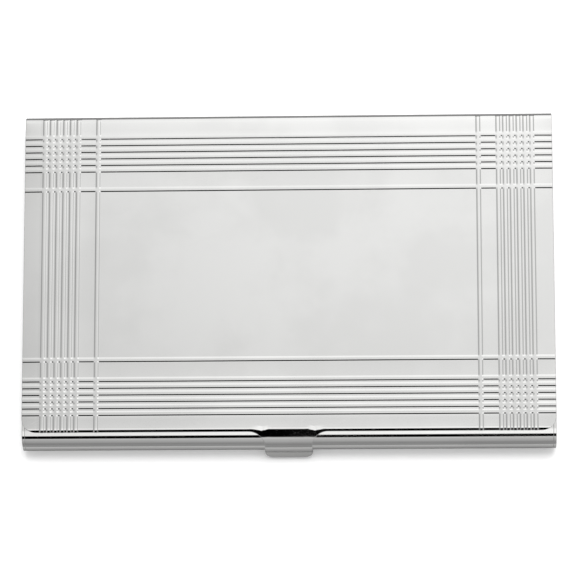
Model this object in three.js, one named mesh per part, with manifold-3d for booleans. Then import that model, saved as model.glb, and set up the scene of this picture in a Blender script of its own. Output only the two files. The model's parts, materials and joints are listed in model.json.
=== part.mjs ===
// A pocket business card case in nickel-plated sheet metal, in millimetres, +Z up.
//
// The tray is one sheet: a flat bottom whose front edge is rolled up and back into a bullnose with a short
// lip, and whose rear edge is bent up into a low wall. A plate closes each end. The lid is a second sheet:
// a flat top with a plaid border of raised ribs, whose rear edge is bent down and rolled under the hinge
// axis as the spine, and whose front edge carries a thumb tab. Two lugs inside the spine turn on two pins
// in the end plates, and a leaf spring behind the rear wall presses on the flats of the lugs, so the lid
// snaps.
//
// The origin is the centre of the closed case's underside. X runs along the spine, -Y is the thumb tab.
import * as THREE from "three";
import { mergeVertices } from "three/addons/utils/BufferGeometryUtils.js";
import Module from "manifold-3d";

// ---- Driving dimensions ----
const WIDTH = 94;
const DEPTH = 60.4; // front roll to spine, without the thumb tab
const HEIGHT = 7; // to the lid's flat top, without the raised ribs
const SHEET = 0.5;
const TOUCH = 0.05; // gap between parts that are brazed or pressed together on curved faces
const CARD_DEPTH = 50.8; // a 3.5 x 2 inch card, which the tray is made for
const CARD_PLAY = 0.5; // how far the card can slide between the front roll and the rear wall

// ---- Sizes that follow from them ----
const frontEnd = -30; // the foremost line of the front roll
const half = WIDTH / 2;
const trayHalf = half - SHEET; // the tray lies between the end plates
const lidUnder = HEIGHT - SHEET;
const roll = { y: frontEnd + lidUnder / 2, z: lidUnder / 2, radius: lidUnder / 2 };
const spineRadius = HEIGHT / 2;
const spineInner = spineRadius - SHEET;
const spine = { back: frontEnd + DEPTH, y: frontEnd + DEPTH - spineRadius, topRadius: 1, sweep: 120 };
const pivot = { y: spine.y - 0.4, z: HEIGHT / 2 }; // the hinge axis, a little in front of the spine's centre
const lidFront = roll.y - 0.45; // the lid's straight front edge, just past the top of the front roll
const wallFront = frontEnd + SHEET + CARD_DEPTH + CARD_PLAY; // front face of the tray's rear wall
const wallBack = wallFront + SHEET;
const wallHeight = lidUnder - 0.3;
const lipLength = 3.5;
const cornerRadius = 2.6; // the lid's two front corners

const pinRadius = 0.9;
const pinHead = { radius: 1.5, thick: 0.4 };
const boreRadius = pinRadius + TOUCH;
const lug = { inner: half - 1.3, thick: 0.7, footFront: pivot.y - 8.5, radius: spineInner - TOUCH };
const spring = { thick: 0.3, low: 1.6, high: 4.8, bow: 0.35, flatHalf: 12, half: lug.inner + 0.6 };
const springBack = wallBack + spring.thick + spring.bow; // where the spring's ends bear on the lugs
const rivet = { x: 10, shaft: 0.5, frontHead: 1.0, frontThick: 0.25, backHead: 0.8, backThick: 0.2 };
const openAngle = 110; // degrees, where the spine's cut ends meet the shoulders of the end plates
const stopPlay = 2; // degrees past the stop that the shoulders leave clear
const notch = { lug: 0.1, lugTop: 1.1, plate: 0.05 }; // cut-backs of the spine's rolled-under edge

const plaid = {
  pitch: 1.2,
  count: 6,
  width: 0.66, // of a rib, at half its height
  rowRise: 0.1, // of the ribs that run along X, which are struck over the others
  columnRise: 0.08,
  slope: 0.24, // width of a rib's sloping side
  runOff: 2, // how far the ribs along X are drawn past each end of the lid before it is trimmed
  gap: 3.54, // from the last rib of a group to the lone rib inside it
  fromEnd: 3.6,
  fromFront: 3.25,
  fromPivot: 0.7,
  endGap: 0.2, // from the ends of the ribs along Y to the front edge and the bend of the spine
};
const tab = {
  half: 4.05,
  rootFillet: 2.9,
  cornerRadius: 1.1,
  overlap: 0.8, // how far its root runs into the lid before the front edge
  bendRadius: 2.9, // inside its bend over the front roll, which it just clears
  straightEnd: 2.5, // height where it starts to kick outwards
  flareRadius: 1.0,
  flare: 27, // degrees
  flareLength: 1.4, // of its straight foot, past the kick
  rows: 44,
};

const ARC = 20; // curve divisions, which three.js doubles on arcs
const ROUND = 40; // facets of a turned piece
const radians = THREE.MathUtils.degToRad;

// ---- Materials ----
const nickel = new THREE.MeshStandardMaterial({ color: 0xe4e4e2, roughness: 0.08, metalness: 1 });
const satin = new THREE.MeshStandardMaterial({ color: 0xc9c9c6, roughness: 0.28, metalness: 1 });
const steel = new THREE.MeshStandardMaterial({ color: 0xa9acb0, roughness: 0.32, metalness: 1 });

// ---- Booleans ----
const wasm = await Module();
wasm.setup();

function solid(geometry) {
  const bare = geometry.clone();
  bare.deleteAttribute("normal");
  bare.deleteAttribute("uv");
  const merged = mergeVertices(bare, 1e-4);
  return new wasm.Manifold(
    new wasm.Mesh({
      numProp: 3,
      vertProperties: merged.attributes.position.array,
      triVerts: new Uint32Array(merged.index.array),
    }),
  );
}

function geometryOf(body) {
  const mesh = body.getMesh();
  const made = new THREE.BufferGeometry();
  made.setAttribute("position", new THREE.BufferAttribute(mesh.vertProperties, 3));
  made.setIndex(new THREE.BufferAttribute(mesh.triVerts, 1));
  made.computeVertexNormals();
  return made;
}

// ---- Shapes ----

// Extrudes an outline drawn in (Y, Z) along X, from one X to another.
function alongX(outline, from, to) {
  const made = new THREE.ExtrudeGeometry(outline, {
    depth: to - from,
    bevelEnabled: false,
    curveSegments: ARC,
  });
  const basis = new THREE.Matrix4().makeBasis(
    new THREE.Vector3(0, 1, 0),
    new THREE.Vector3(0, 0, 1),
    new THREE.Vector3(1, 0, 0),
  );
  return made.applyMatrix4(basis).translate(from, 0, 0);
}

function block(lowX, highX, lowY, highY, lowZ, highZ) {
  const made = new THREE.BoxGeometry(highX - lowX, highY - lowY, highZ - lowZ);
  return made.translate((lowX + highX) / 2, (lowY + highY) / 2, (lowZ + highZ) / 2);
}

// A circle in (Y, Z), as a hole to punch through an outline.
function punch(y, z, radius) {
  const hole = new THREE.Path();
  hole.absarc(y, z, radius, 0, 2 * Math.PI, true);
  return hole;
}

function polar(centre, radius, degrees) {
  const a = radians(degrees);
  return [centre.y + radius * Math.cos(a), centre.z + radius * Math.sin(a)];
}

// ---- Tray ----
function trayOutline() {
  const bend = SHEET + 0.3;
  const s = new THREE.Shape();
  s.moveTo(roll.y, 0);
  s.lineTo(wallBack - bend, 0);
  s.absarc(wallBack - bend, bend, bend, radians(-90), 0, false);
  s.lineTo(wallBack, wallHeight);
  s.lineTo(wallFront, wallHeight);
  s.absarc(wallBack - bend, bend, bend - SHEET, 0, radians(-90), true);
  s.lineTo(roll.y, SHEET);
  s.absarc(roll.y, roll.z, roll.radius - SHEET, radians(270), radians(90), true);
  s.lineTo(roll.y + lipLength, lidUnder - SHEET);
  s.lineTo(roll.y + lipLength, lidUnder);
  s.absarc(roll.y, roll.z, roll.radius, radians(90), radians(270), false);
  return s;
}

function rivetHole(x) {
  const drill = new THREE.CylinderGeometry(rivet.shaft + TOUCH, rivet.shaft + TOUCH, 4, ROUND);
  return drill.translate(x, wallBack, (spring.low + spring.high) / 2);
}

function tray() {
  let body = solid(alongX(trayOutline(), -trayHalf, trayHalf));
  for (const side of [-1, 1]) {
    // The wall's top corners are notched so that the feet of the lugs pass.
    const from = side < 0 ? -half : lug.inner - 0.3;
    const corner = block(from, from + half - lug.inner + 0.3, wallFront - 0.5, wallBack + 0.5, 4.7, HEIGHT);
    body = body.subtract(solid(corner)).subtract(solid(rivetHole(side * rivet.x)));
  }
  return geometryOf(body);
}

// ---- End plates ----
function endPlateOutline() {
  const inside = lug.radius - TOUCH; // turns clear inside the spine
  const shoulder = -openAngle - stopPlay;
  const lowReach = pivot.z / Math.sin(radians(-shoulder));
  const s = new THREE.Shape();
  s.moveTo(roll.y, 0);
  s.lineTo(pivot.y + lowReach * Math.cos(radians(shoulder)), 0);
  s.lineTo(...polar(pivot, inside, shoulder));
  s.absarc(pivot.y, pivot.z, inside, radians(shoulder), radians(90), false);
  s.lineTo(pivot.y - 1, lidUnder);
  s.lineTo(roll.y, lidUnder);
  s.absarc(roll.y, roll.z, roll.radius, radians(90), radians(270), false);
  s.holes.push(punch(pivot.y, pivot.z, pinRadius + TOUCH / 2));
  return s;
}

function endPlate(side) {
  const from = side < 0 ? -half : trayHalf;
  return alongX(endPlateOutline(), from, from + SHEET);
}

// ---- Lid ----
function lidOutline() {
  const under = { y: spine.y, z: pivot.z };
  const bend = { y: spine.back - spine.topRadius, z: HEIGHT - spine.topRadius };
  const s = new THREE.Shape();
  s.moveTo(lidFront, HEIGHT);
  s.lineTo(lidFront, lidUnder);
  s.lineTo(bend.y, lidUnder);
  s.absarc(bend.y, bend.z, spine.topRadius - SHEET, radians(90), 0, true);
  s.lineTo(under.y + spineInner, under.z);
  s.absarc(under.y, under.z, spineInner, 0, radians(-spine.sweep), true);
  s.lineTo(...polar(under, spineRadius, -spine.sweep));
  s.absarc(under.y, under.z, spineRadius, radians(-spine.sweep), 0, false);
  s.lineTo(spine.back, bend.z);
  s.absarc(bend.y, bend.z, spine.topRadius, 0, radians(90), false);
  return s;
}

// The lid seen from above, with its two rounded front corners.
function lidPlan() {
  const s = new THREE.Shape();
  s.moveTo(-half, DEPTH);
  s.lineTo(-half, lidFront + cornerRadius);
  s.absarc(-half + cornerRadius, lidFront + cornerRadius, cornerRadius, radians(180), radians(270), false);
  s.lineTo(half - cornerRadius, lidFront);
  s.absarc(half - cornerRadius, lidFront + cornerRadius, cornerRadius, radians(270), radians(360), false);
  s.lineTo(half, DEPTH);
  return new THREE.ExtrudeGeometry(s, { depth: 4 * HEIGHT, bevelEnabled: false, curveSegments: ARC / 2 });
}

// Half the tab's width at a distance past the lid's front edge, for a blank of a given length.
function tabHalf(past, length) {
  const r = tab.rootFillet;
  const c = tab.cornerRadius;
  if (past < 0) return tab.half + r;
  if (past < r) return tab.half + r - Math.sqrt(r * r - (r - past) ** 2);
  const intoCorner = Math.max(0, past - (length - c));
  return tab.half - c + Math.sqrt(Math.max(0, c * c - intoCorner ** 2));
}

// The tab is a flat blank pressed over a former: down round the front roll, then out in a small kick.
function thumbTab() {
  const inner = tab.bendRadius;
  const bendZ = lidUnder - inner;
  const arc = (inner * Math.PI) / 2;
  const drop = bendZ - tab.straightEnd;
  const flat = tab.overlap;
  const flareArc = tab.flareRadius * radians(tab.flare);
  const length = flat + arc + drop + flareArc + tab.flareLength;
  const front = lidFront - inner;

  // Place and outward normal of the sheet's inner face, a distance along it.
  function former(along) {
    if (along <= flat) return [lidFront + flat - along, lidUnder, 0, 1];
    if (along <= flat + arc) {
      const a = (along - flat) / inner;
      return [lidFront - inner * Math.sin(a), bendZ + inner * Math.cos(a), -Math.sin(a), Math.cos(a)];
    }
    if (along <= flat + arc + drop) return [front, bendZ - (along - flat - arc), -1, 0];
    const pastStraight = along - flat - arc - drop;
    const a = Math.min(pastStraight, flareArc) / tab.flareRadius;
    const foot = Math.max(0, pastStraight - flareArc);
    const y = front - tab.flareRadius * (1 - Math.cos(a)) - foot * Math.sin(a);
    const z = tab.straightEnd - tab.flareRadius * Math.sin(a) - foot * Math.cos(a);
    return [y, z, -Math.cos(a), Math.sin(a)];
  }

  const blank = new THREE.BoxGeometry(1, 1, 1, 1, tab.rows, 1);
  const place = blank.attributes.position;
  for (let i = 0; i < place.count; i++) {
    const along = (0.5 - place.getY(i)) * length;
    const [y, z, normalY, normalZ] = former(along);
    const lift = (place.getZ(i) + 0.5) * SHEET;
    const x = 2 * place.getX(i) * tabHalf(along - tab.overlap, length - tab.overlap);
    place.setXYZ(i, x, y + lift * normalY, z + lift * normalZ);
  }
  return blank;
}

// Distances of one border's ribs from the lid's edge.
function ribOffsets(first) {
  const group = Array.from({ length: plaid.count }, (_, i) => first + i * plaid.pitch);
  return [...group, group.at(-1) + plaid.gap];
}

// A rib with sloping sides, centred on 0 and lying along its second axis. Its sides run on into the sheet.
function rib(length, rise) {
  const crest = (plaid.width - plaid.slope) / 2;
  const root = crest + 2 * plaid.slope;
  const s = new THREE.Shape();
  s.moveTo(-root, -rise);
  s.lineTo(root, -rise);
  s.lineTo(crest, rise);
  s.lineTo(-crest, rise);
  const made = new THREE.ExtrudeGeometry(s, { depth: length, bevelEnabled: false });
  return made.translate(0, 0, -length / 2).rotateX(Math.PI / 2);
}

// The ribs of the whole plaid, as one solid that runs past the ends of the lid.
function plaidRibs() {
  const ribs = [];
  const back = spine.back - spine.topRadius - plaid.endGap;
  const front = lidFront + plaid.endGap;
  for (const offset of ribOffsets(plaid.fromEnd)) {
    for (const x of [-half + offset, half - offset]) {
      ribs.push(rib(back - front, plaid.columnRise).translate(x, (front + back) / 2, HEIGHT));
    }
  }
  const rows = [
    ...ribOffsets(plaid.fromFront).map((offset) => lidFront + offset),
    ...ribOffsets(plaid.fromPivot).map((offset) => pivot.y - offset),
  ];
  const across = WIDTH + 2 * plaid.runOff;
  for (const y of rows) ribs.push(rib(across, plaid.rowRise).rotateZ(Math.PI / 2).translate(0, y, HEIGHT));
  return ribs.map(solid).reduce((joined, next) => joined.add(next));
}

function lid() {
  const sheet = solid(alongX(lidOutline(), -half, half)).add(plaidRibs());
  let body = sheet.intersect(solid(lidPlan().translate(0, 0, -HEIGHT)));
  body = body.add(solid(thumbTab()));
  for (const side of [-1, 1]) {
    const clearOfLug = lug.inner - notch.lug;
    const clearOfPlate = trayHalf - notch.plate;
    const reach = half + 1;
    const under = side < 0 ? [-reach, -clearOfLug] : [clearOfLug, reach];
    const behind = side < 0 ? [-reach, -clearOfPlate] : [clearOfPlate, reach];
    body = body.subtract(solid(block(...under, wallBack, DEPTH, -1, notch.lugTop)));
    body = body.subtract(solid(block(...behind, wallBack, DEPTH, -1, pivot.z)));
  }
  return geometryOf(body);
}

// ---- Hinge ----

// The lug: a foot under the lid, a disc in the spine, and two flats for the spring to press on.
function lugOutline() {
  const floor = 0.1;
  const flat = springBack + 0.02;
  const backStart = -55;
  const openFlat = polar(pivot, 3.34, -61);
  const s = new THREE.Shape();
  s.moveTo(lug.footFront, lidUnder);
  s.lineTo(lug.footFront, lidUnder - 1.0);
  s.lineTo(flat - 0.4, spring.high + 0.3);
  s.lineTo(flat, spring.high + 0.3);
  s.lineTo(flat, spring.low + 0.3);
  s.lineTo(pivot.y - 2.3, floor);
  s.lineTo(pivot.y + 0.3, floor);
  s.lineTo(...openFlat);
  s.lineTo(...polar(pivot, lug.radius, backStart));
  s.absarc(pivot.y, pivot.z, lug.radius, radians(backStart), radians(90), false);
  s.lineTo(pivot.y - 0.2, lidUnder);
  s.holes.push(punch(pivot.y, pivot.z, boreRadius));
  return s;
}

function hingeLug(side) {
  const from = side < 0 ? -lug.inner - lug.thick : lug.inner;
  return alongX(lugOutline(), from, from + lug.thick);
}

// Turns a profile of (radius, height) points about X on the left, or its mirror image on the right.
function turned(points, side) {
  const profile = points.map(([r, h]) => new THREE.Vector2(r, h));
  const made = new THREE.LatheGeometry(profile, ROUND);
  return made.rotateZ(side < 0 ? Math.PI / 2 : -Math.PI / 2);
}

// The pin is flush with the end plate and headed inside the lug.
function hingePin(side) {
  const headIn = lug.inner - 0.1 - pinHead.thick;
  const profile = [
    [0, headIn],
    [pinHead.radius, headIn],
    [pinHead.radius, headIn + pinHead.thick],
    [pinRadius, headIn + pinHead.thick],
    [pinRadius, half],
    [0, half],
  ];
  return turned(profile, side);
}

// ---- Leaf spring ----

// A strip flat against the wall between its rivets, and bowed back towards its ends.
function leafSpring() {
  const tall = spring.high - spring.low;
  const strip = new THREE.BoxGeometry(2 * spring.half, spring.thick, tall, 2 * ARC, 1, 1);
  const place = strip.attributes.position;
  for (let i = 0; i < place.count; i++) {
    const past = Math.max(0, Math.abs(place.getX(i)) - spring.flatHalf) / (spring.half - spring.flatHalf);
    place.setY(i, place.getY(i) + spring.bow * past * past);
  }
  strip.translate(0, wallBack + spring.thick / 2, (spring.low + spring.high) / 2);
  const drilled = solid(strip).subtract(solid(rivetHole(-rivet.x))).subtract(solid(rivetHole(rivet.x)));
  return geometryOf(drilled);
}

// The rivet runs along Y, with its low head inside the card space.
function springRivet() {
  const backFace = wallBack + spring.thick;
  const profile = [
    [0, wallFront - rivet.frontThick],
    [rivet.frontHead * 0.8, wallFront - rivet.frontThick],
    [rivet.frontHead, wallFront],
    [rivet.shaft, wallFront],
    [rivet.shaft, backFace],
    [rivet.backHead, backFace],
    [rivet.backHead * 0.8, backFace + rivet.backThick],
    [0, backFace + rivet.backThick],
  ];
  return new THREE.LatheGeometry(
    profile.map(([r, h]) => new THREE.Vector2(r, h)),
    ROUND,
  );
}

// ---- Assembly ----
const caseGroup = new THREE.Group();

function add(name, geometry, material, group = caseGroup) {
  const mesh = new THREE.Mesh(geometry, material);
  mesh.name = name;
  group.add(mesh);
  return mesh;
}

const base = new THREE.Group();
const cover = new THREE.Group();
caseGroup.add(base, cover);

add("base_tray", tray(), nickel, base);
add("lid_cover", lid(), nickel, cover);
add("leaf_spring", leafSpring(), steel, base);
for (const [label, side] of [
  ["left", -1],
  ["right", 1],
]) {
  add(`end_plate_${label}`, endPlate(side), nickel, base);
  add(`hinge_lug_${label}`, hingeLug(side), satin, cover);
  const pin = add(`hinge_pin_${label}`, hingePin(side), satin, base);
  pin.position.set(0, pivot.y, pivot.z);
  const fastener = add(`spring_rivet_${label}`, springRivet(), satin, base);
  fastener.position.set(side * rivet.x, 0, (spring.low + spring.high) / 2);
}

export default caseGroup;
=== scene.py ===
"""A pocket business card case in polished nickel, with a stamped plaid border and a snap hinge.

Each sub-assembly is a class that holds its sizes, shapes its mesh and dresses it in a finish. All sizes are
in metres. X runs along the spine, -Y is the thumb tab, +Z is up, and the case lies closed on Z = 0.
"""

import json
import logging
import math
from collections.abc import Callable, Iterable, Sequence
from dataclasses import dataclass, field
from enum import Enum
from typing import Any

import bmesh
import bpy
from bmesh.types import BMEdge, BMesh, BMFace, BMVert
from mathutils import Matrix, Vector


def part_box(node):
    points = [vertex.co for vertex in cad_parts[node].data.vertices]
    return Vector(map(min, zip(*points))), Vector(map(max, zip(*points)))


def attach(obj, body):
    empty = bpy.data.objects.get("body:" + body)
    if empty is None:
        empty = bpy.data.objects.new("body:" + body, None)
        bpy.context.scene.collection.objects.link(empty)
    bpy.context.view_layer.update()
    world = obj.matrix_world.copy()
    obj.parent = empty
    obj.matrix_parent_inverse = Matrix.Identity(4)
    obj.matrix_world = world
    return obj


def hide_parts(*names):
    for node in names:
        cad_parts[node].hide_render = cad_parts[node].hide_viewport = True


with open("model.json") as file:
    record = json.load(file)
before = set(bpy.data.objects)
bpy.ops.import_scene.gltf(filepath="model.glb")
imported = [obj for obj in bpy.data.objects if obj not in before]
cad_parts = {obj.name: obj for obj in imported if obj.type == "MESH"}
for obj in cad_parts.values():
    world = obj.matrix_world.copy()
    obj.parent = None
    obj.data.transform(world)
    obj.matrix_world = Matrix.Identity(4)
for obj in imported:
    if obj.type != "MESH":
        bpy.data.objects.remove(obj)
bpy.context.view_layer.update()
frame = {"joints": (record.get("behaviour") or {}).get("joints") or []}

log = logging.getLogger("card_case")

MM = 0.001
SPINE_SET_IN = 0.7 * MM  # how far the finished spine stands in front of the rear of the plain solid
FRONT_REACH = 0.6 * MM  # how far the lid's front edge stands in front of the roll's centre
X_AXIS = Vector((1, 0, 0))
Y_AXIS = Vector((0, 1, 0))


class Side(Enum):
    """The two ends of the case, with the sign of X on each."""

    LEFT = -1
    RIGHT = 1

    @property
    def word(self) -> str:
        """The side's name in the names of pieces."""
        return self.name.lower()


class Body(Enum):
    """The rigid bodies that the pieces ride on."""

    BASE = "base"
    LID = "lid"


# ---- Sizes that the pieces share ----


@dataclass(frozen=True)
class Layout:
    """Places that several pieces meet at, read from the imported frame.

    Attributes:
        half_width: Half the case's length along X.
        height: From the underside to the flat top of the lid.
        sheet: Thickness of the plated sheet.
        tray_half: Half the tray's length, between the end plates.
        pivot: A point on the hinge axis, at X = 0.
        roll: Centre of the tray's rolled front edge, at X = 0.
        roll_radius: Outer radius of that roll.
        wall_back: Y of the rear face of the tray's rear wall.
        spine_back: Y of the rear face of the lid's spine.
    """

    half_width: float
    height: float
    sheet: float
    tray_half: float
    pivot: Vector
    roll: Vector
    roll_radius: float
    wall_back: float
    spine_back: float

    @classmethod
    def from_frame(cls) -> "Layout":
        """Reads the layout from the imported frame.

        Returns:
            The layout of this case.
        """
        lid_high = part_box("lid_cover")[1]
        tray_low, tray_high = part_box("base_tray")
        plate_low, plate_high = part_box("end_plate_right")
        roll_radius = tray_high.z / 2
        sheet = plate_high.x - plate_low.x
        return cls(
            half_width=lid_high.x,
            height=tray_high.z + sheet,
            sheet=sheet,
            tray_half=tray_high.x,
            pivot=Vector(frame["joints"][0]["pos_m"]),
            roll=Vector((0, tray_low.y + roll_radius, roll_radius)),
            roll_radius=roll_radius,
            wall_back=tray_high.y,
            spine_back=lid_high.y - SPINE_SET_IN,
        )

    @property
    def lid_under(self) -> float:
        """Height of the lid's underside."""
        return self.height - self.sheet

    @property
    def lid_front(self) -> float:
        """Y of the lid's straight front edge."""
        return self.roll.y - FRONT_REACH


# ---- Node graphs ----


class Graph:
    """A node tree with short calls for adding and joining nodes."""

    def __init__(self, tree: bpy.types.NodeTree) -> None:
        """Starts from an empty tree.

        Args:
            tree: The tree to fill, whose own nodes are removed.
        """
        self.tree = tree
        tree.nodes.clear()

    def add(self, kind: str, **settings: Any) -> bpy.types.Node:
        """Adds one node.

        Args:
            kind: The node's type name.
            settings: Its properties, and the values of its inputs as inputs={name: value}.

        Returns:
            The new node.
        """
        inputs = settings.pop("inputs", {})
        node = self.tree.nodes.new(kind)
        for name, value in settings.items():
            setattr(node, name, value)
        for name, value in inputs.items():
            if isinstance(value, bpy.types.NodeSocket):
                self.tree.links.new(value, node.inputs[name])
            else:
                node.inputs[name].default_value = value
        return node

    def math(self, operation: str, a: Any, b: Any = 0.0) -> bpy.types.NodeSocket:
        """Adds a Math node.

        Args:
            operation: The operation's name.
            a: The first value or socket.
            b: The second value or socket.

        Returns:
            The result's socket.
        """
        return self.add("ShaderNodeMath", operation=operation, inputs={0: a, 1: b}).outputs[0]

    def mix(self, share: Any, first: Any, second: Any) -> bpy.types.NodeSocket:
        """Mixes two values.

        Args:
            share: How much of the second one, from 0 to 1.
            first: The first value or socket.
            second: The second value or socket.

        Returns:
            The mixture's socket.
        """
        node = self.add("ShaderNodeMix", data_type="FLOAT", inputs={0: share, 2: first, 3: second})
        return node.outputs[0]

    def spread(self, value: Any, source: Sequence[float], target: Sequence[float]) -> bpy.types.NodeSocket:
        """Maps one range of a value smoothly to another.

        Args:
            value: The socket to map.
            source: The range's two ends.
            target: What they become.

        Returns:
            The result's socket.
        """
        node = self.add(
            "ShaderNodeMapRange",
            interpolation_type="SMOOTHSTEP",
            inputs={0: value, 1: source[0], 2: source[1], 3: target[0], 4: target[1]},
        )
        return node.outputs[0]

    def noise(
        self, vector: Any, scale: float, detail: float = 3.0, rough: float = 0.5
    ) -> bpy.types.NodeSocket:
        """Adds a noise pattern.

        Args:
            vector: The coordinates that it reads.
            scale: Features per metre.
            detail: Octaves.
            rough: How strong the finer octaves are.

        Returns:
            The pattern's value.
        """
        node = self.add(
            "ShaderNodeTexNoise",
            inputs={"Vector": vector, "Scale": scale, "Detail": detail, "Roughness": rough},
        )
        return node.outputs[0]


def stretched(graph: Graph, scale: Sequence[float], turn: float = 0.0) -> bpy.types.NodeSocket:
    """Gives the piece's own coordinates, stretched along its axes.

    Args:
        graph: The material's graph.
        scale: A factor for each axis, large across a streak and small along it.
        turn: Degrees to turn the streaks about Z.

    Returns:
        The coordinates' socket.
    """
    place = graph.add("ShaderNodeTexCoord").outputs["Object"]
    turned = graph.add(
        "ShaderNodeMapping", inputs={"Vector": place, "Rotation": (0.3, 0.2, math.radians(turn))}
    )
    mapping = graph.add("ShaderNodeMapping", inputs={"Vector": turned.outputs[0], "Scale": tuple(scale)})
    return mapping.outputs[0]


# ---- Finishes ----


@dataclass(frozen=True)
class PolishedNickel:
    """Bright nickel plating, buffed, with faint hairlines and the haze of handling.

    Attributes:
        name: The material's name.
        bright: Colour of clean plating.
        hazed: Colour where a film of handling dulls it.
        clean_roughness: Roughness of clean plating.
        hazed_roughness: Roughness under the film.
        hairline: How much a hairline adds to the roughness.
        streak: Stretch of the hairlines along each axis.
        passes: Direction of each set of hairlines, in degrees, and the range of noise that makes them.
    """

    name: str = "polished nickel"
    bright: tuple[float, float, float] = (0.83, 0.83, 0.82)
    hazed: tuple[float, float, float] = (0.79, 0.79, 0.78)
    clean_roughness: float = 0.055
    hazed_roughness: float = 0.105
    hairline: float = 0.10
    streak: tuple[float, float, float] = (9000.0, 130.0, 900.0)
    passes: tuple[tuple[float, tuple[float, float]], ...] = (
        (8.0, (0.7, 0.76)),
        (67.0, (0.71, 0.76)),
        (-38.0, (0.72, 0.77)),
    )

    def build(self) -> bpy.types.Material:
        """Makes the material.

        Returns:
            The new material.
        """
        material = bpy.data.materials.new(self.name)
        material.use_nodes = True
        graph = Graph(material.node_tree)
        place = graph.add("ShaderNodeTexCoord").outputs["Object"]
        haze = graph.spread(graph.noise(place, 70.0, 4.0), (0.4, 0.66), (0.0, 1.0))
        lines = [
            graph.spread(graph.noise(stretched(graph, self.streak, turn), 1.0, 1.0), span, (0.0, 1.0))
            for turn, span in self.passes
        ]
        hairlines = graph.math("MAXIMUM", graph.math("MAXIMUM", lines[0], lines[1]), lines[2])
        colour = graph.add("ShaderNodeMix", data_type="RGBA", inputs={0: haze})
        colour.inputs[6].default_value = (*self.bright, 1)
        colour.inputs[7].default_value = (*self.hazed, 1)
        film = graph.spread(haze, (0.0, 1.0), (self.clean_roughness, self.hazed_roughness))
        scratched = graph.math("MULTIPLY", hairlines, self.hairline)
        buffing = graph.noise(place, 420.0, 2.0)
        height = graph.math("SUBTRACT", buffing, graph.math("MULTIPLY", hairlines, 0.5))
        bump = graph.add(
            "ShaderNodeBump", inputs={"Height": height, "Strength": 0.12, "Distance": 0.004 * MM}
        )
        shader = graph.add(
            "ShaderNodeBsdfPrincipled",
            inputs={
                "Base Color": colour.outputs[2],
                "Metallic": 1.0,
                "Roughness": graph.math("ADD", film, scratched),
                "Normal": bump.outputs[0],
            },
        )
        graph.add("ShaderNodeOutputMaterial", inputs={"Surface": shader.outputs[0]})
        return material


@dataclass(frozen=True)
class GrainedSteel:
    """Steel with a directional grain, from tumbling or rolling.

    Attributes:
        name: The material's name.
        light: Colour on the grain's ridges.
        dark: Colour in its valleys.
        roughness: Lowest and highest roughness.
        grain: Stretch of the grain along each axis.
        depth: Height of the grain.
    """

    name: str
    light: tuple[float, float, float]
    dark: tuple[float, float, float]
    roughness: tuple[float, float]
    grain: tuple[float, float, float]
    depth: float

    def build(self) -> bpy.types.Material:
        """Makes the material.

        Returns:
            The new material.
        """
        material = bpy.data.materials.new(self.name)
        material.use_nodes = True
        graph = Graph(material.node_tree)
        place = graph.add("ShaderNodeTexCoord").outputs["Object"]
        streaks = graph.noise(stretched(graph, self.grain), 1.0, 4.0, 0.65)
        clouds = graph.noise(place, 260.0, 3.0)
        blend = graph.math("ADD", graph.math("MULTIPLY", streaks, 0.65), graph.math("MULTIPLY", clouds, 0.35))
        share = graph.spread(blend, (0.36, 0.64), (0.0, 1.0))
        colour = graph.add("ShaderNodeMix", data_type="RGBA", inputs={0: share})
        colour.inputs[6].default_value = (*self.dark, 1)
        colour.inputs[7].default_value = (*self.light, 1)
        bump = graph.add(
            "ShaderNodeBump", inputs={"Height": streaks, "Strength": 0.5, "Distance": self.depth}
        )
        shader = graph.add(
            "ShaderNodeBsdfPrincipled",
            inputs={
                "Base Color": colour.outputs[2],
                "Metallic": 1.0,
                "Roughness": graph.spread(share, (0.0, 1.0), self.roughness[::-1]),
                "Normal": bump.outputs[0],
            },
        )
        graph.add("ShaderNodeOutputMaterial", inputs={"Surface": shader.outputs[0]})
        return material


SATIN_STEEL = GrainedSteel(
    name="satin steel",
    light=(0.66, 0.66, 0.65),
    dark=(0.55, 0.55, 0.545),
    roughness=(0.2, 0.34),
    grain=(1400.0, 5200.0, 1400.0),
    depth=0.006 * MM,
)
SPRING_STEEL = GrainedSteel(
    name="spring steel",
    light=(0.5, 0.505, 0.52),
    dark=(0.37, 0.375, 0.39),
    roughness=(0.24, 0.4),
    grain=(90.0, 2000.0, 9000.0),
    depth=0.008 * MM,
)


# ---- Shaping ----


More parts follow.
